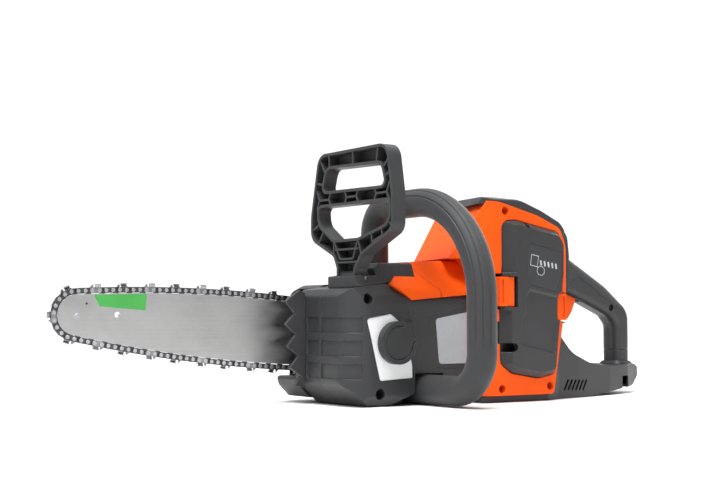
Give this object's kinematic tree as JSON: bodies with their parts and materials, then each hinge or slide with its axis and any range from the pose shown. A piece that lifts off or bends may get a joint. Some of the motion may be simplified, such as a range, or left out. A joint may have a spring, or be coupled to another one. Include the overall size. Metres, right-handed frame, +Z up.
{
  "type": "chainsaw",
  "caption": "Battery chainsaw with a guide bar and saw chain, ribbed hand guard, tubular front handle, side-loaded battery and closed rear handle.",
  "frame": {"origin": "middle of the flat base under the battery tower", "axes": "+X forward along the guide bar, +Y the operator's left, +Z up"},
  "size_m": [0.6561, 0.2235, 0.2345],
  "materials": {
    "body_plastic": "charcoal glass-filled nylon, fine texture",
    "orange_plastic": "bright orange moulded plastic, satin",
    "soft_grip": "dark grey soft-touch grip",
    "guard_plastic": "dark grey ribbed moulding",
    "bar_steel": "ground and polished bar steel",
    "chain_steel": "dark oiled chain steel",
    "cutter_steel": "chromed cutter steel",
    "spike_steel": "dark grey powder-coated steel",
    "plain_steel": "bright steel",
    "screw_steel": "black-zinc screws",
    "copper": "enamelled copper",
    "cast_alloy": "die-cast aluminium",
    "tank_plastic": "milky translucent polyethylene",
    "label_silver": "silver-grey plate",
    "display_plastic": "dark display film",
    "light_plastic": "pale light windows",
    "seal_rubber": "black rubber",
    "cell_metal": "sleeved battery cells",
    "board_green": "potted circuit board"
  },
  "bodies": {
    "housing": {"left_body_shell": "body_plastic", "right_body_shell": "body_plastic", "guard_deck": "body_plastic", "base_pan": "body_plastic", "top_cover": "body_plastic", "sprocket_cover": "body_plastic", "rear_handle_left": "body_plastic", "rear_handle_right": "body_plastic", "rear_handle_cap": "soft_grip", "front_handle_grip": "soft_grip", "front_handle_core": "cast_alloy", "orange_hood": "orange_plastic", "battery_housing": "orange_plastic", "guard_hinge_pin": "plain_steel", "brake_spring": "plain_steel", "brake_band": "plain_steel", "guide_bar": "bar_steel", "nose_hub": "plain_steel", "drive_links": "chain_steel", "tie_straps": "chain_steel", "cutters": "cutter_steel", "chain_rivets": "plain_steel", "motor_stator": "plain_steel", "motor_windings": "copper", "motor_bearings": "plain_steel", "motor_flanges": "cast_alloy", "bay_contacts": "copper", "controller_board": "board_green", "trigger_switch": "seal_rubber", "trigger_pins": "plain_steel", "spike_bumper": "spike_steel", "spike_screws": "screw_steel", "housing_screws": "screw_steel", "bar_stud": "plain_steel", "chain_catcher": "cast_alloy", "oil_tank": "tank_plastic", "oil_pump": "cast_alloy", "side_panel": "label_silver"},
    "guard": {"hand_guard": "guard_plastic"},
    "drive": {"drive_sprocket": "plain_steel", "sprocket_clip": "plain_steel", "motor_shaft": "plain_steel", "motor_rotor": "plain_steel"},
    "nose_wheel": {"nose_sprocket": "chain_steel"},
    "trigger": {"power_trigger": "orange_plastic"},
    "lockout": {"trigger_lockout": "body_plastic"},
    "battery": {"battery_case": "body_plastic", "battery_lid": "body_plastic", "battery_display": "display_plastic", "charge_lights": "light_plastic", "battery_cells": "cell_metal", "battery_terminals": "copper"},
    "latch_front": {"battery_latch_front": "orange_plastic"},
    "latch_rear": {"battery_latch_rear": "orange_plastic"},
    "button": {"charge_button": "display_plastic"},
    "cap": {"oil_cap": "body_plastic", "oil_cap_seal": "seal_rubber"},
    "cap_tab": {"oil_cap_tab": "body_plastic"},
    "knob": {"cover_knob": "orange_plastic"},
    "tension_wheel": {"tension_wheel": "orange_plastic"}
  },
  "joints": [
    {"name": "chain_brake_guard", "type": "hinge", "parent": "housing", "child": "guard", "pos_m": [0.161, 0.0185, 0.116], "axis": [0, 1, 0], "range_deg": [0, 15]},
    {"name": "drive_spin", "type": "hinge", "parent": "housing", "child": "drive", "pos_m": [0.11, -0.045, 0.059], "axis": [0, 1, 0], "continuous": true},
    {"name": "nose_sprocket_spin", "type": "hinge", "parent": "housing", "child": "nose_wheel", "pos_m": [0.40415, -0.045, 0.08267], "axis": [0, 1, 0], "continuous": true},
    {"name": "trigger_pull", "type": "hinge", "parent": "housing", "child": "trigger", "pos_m": [-0.094, -0.005, 0.121], "axis": [0, 1, 0], "range_deg": [0, 10], "stiffness_Nm_per_rad": 0.6, "springref_deg": -20.05},
    {"name": "lockout_press", "type": "hinge", "parent": "housing", "child": "lockout", "pos_m": [-0.084, -0.005, 0.1557], "axis": [0, -1, 0], "range_deg": [0, 8], "stiffness_Nm_per_rad": 0.3, "springref_deg": -20.05},
    {"name": "battery_slide", "type": "slide", "parent": "housing", "child": "battery", "axis": [0, 1, 0], "range_m": [0, 0.12]},
    {"name": "latch_front_squeeze", "type": "slide", "parent": "battery", "child": "latch_front", "axis": [-1, 0, 0], "range_m": [0, 0.0025], "stiffness_N_per_m": 600, "springref_m": -0.005},
    {"name": "latch_rear_squeeze", "type": "slide", "parent": "battery", "child": "latch_rear", "axis": [1, 0, 0], "range_m": [0, 0.0025], "stiffness_N_per_m": 600, "springref_m": -0.005},
    {"name": "charge_button_press", "type": "slide", "parent": "battery", "child": "button", "axis": [0, -1, 0], "range_m": [0, 0.0008], "stiffness_N_per_m": 600, "springref_m": -0.002},
    {"name": "oil_cap_turn", "type": "hinge", "parent": "housing", "child": "cap", "pos_m": [0.138, 0.05, 0.0575], "axis": [0, 1, 0], "range_deg": [0, 90]},
    {"name": "cap_tab_flip", "type": "hinge", "parent": "cap", "child": "cap_tab", "pos_m": [0.12523, 0.05735, 0.06747], "axis": [0.6157, 0, 0.788], "range_deg": [0, 90]},
    {"name": "cover_knob_turn", "type": "hinge", "parent": "housing", "child": "knob", "pos_m": [0.15785, -0.06, 0.06285], "axis": [0, -1, 0], "continuous": true},
    {"name": "tension_wheel_turn", "type": "hinge", "parent": "housing", "child": "tension_wheel", "pos_m": [0.114, -0.08, 0.088], "axis": [0, -1, 0], "continuous": true}
  ],
  "couplings": [
    {"joint": "nose_sprocket_spin", "follows": "drive_spin", "ratio": 0.8}
  ]
}
